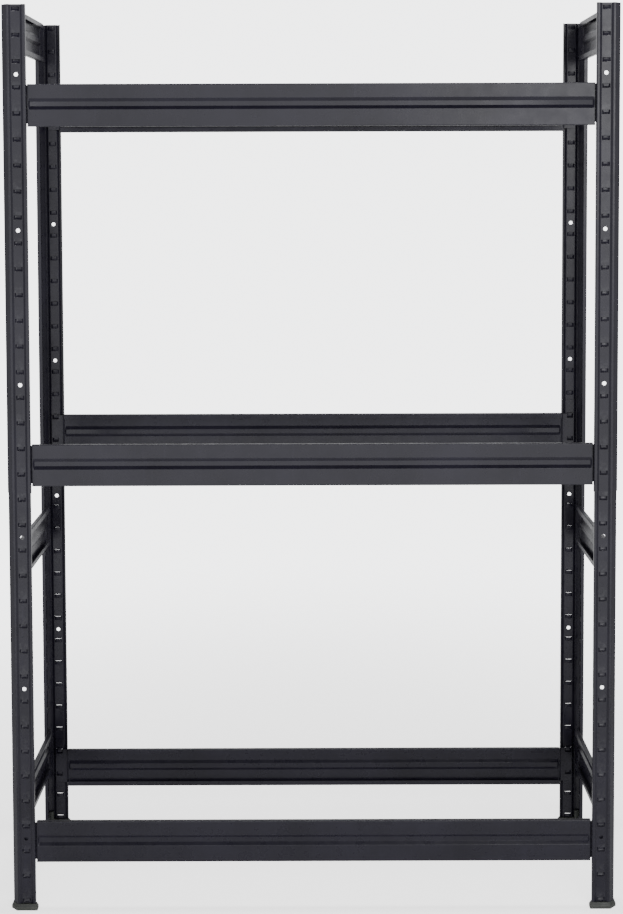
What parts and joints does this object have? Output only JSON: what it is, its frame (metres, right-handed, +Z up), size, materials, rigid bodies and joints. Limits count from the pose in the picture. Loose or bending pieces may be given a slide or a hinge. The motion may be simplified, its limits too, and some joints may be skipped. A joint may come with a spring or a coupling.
{
  "type": "tyre storage rack",
  "caption": "Free-standing three-tier tyre rack: slotted L-shaped steel posts, hook-in front, back and side beams, and plastic feet.",
  "frame": {"origin": "on the floor, under the centre of the rack", "axes": "+Z up, +Y from the front to the back, +X along the rack to the right as seen from the front"},
  "size_m": [1.196, 0.406, 1.776],
  "materials": {
    "post_steel": "black powder coat, fine satin texture",
    "beam_steel": "black powder coat, fine satin texture",
    "foot_plastic": "moulded black plastic, fine spark texture"
  },
  "bodies": {
    "root": {"front_left_post_upper": "post_steel", "front_left_post_lower": "post_steel", "front_right_post_upper": "post_steel", "front_right_post_lower": "post_steel", "back_left_post_upper": "post_steel", "back_left_post_lower": "post_steel", "back_right_post_upper": "post_steel", "back_right_post_lower": "post_steel", "front_left_foot": "foot_plastic", "front_right_foot": "foot_plastic", "back_left_foot": "foot_plastic", "back_right_foot": "foot_plastic", "front_top_beam": "beam_steel", "front_middle_beam": "beam_steel", "front_bottom_beam": "beam_steel", "back_top_beam": "beam_steel", "back_middle_beam": "beam_steel", "back_bottom_beam": "beam_steel", "left_top_side_beam": "beam_steel", "left_middle_side_beam": "beam_steel", "left_bottom_side_beam": "beam_steel", "right_top_side_beam": "beam_steel", "right_middle_side_beam": "beam_steel", "right_bottom_side_beam": "beam_steel"}
  },
  "joints": []
}
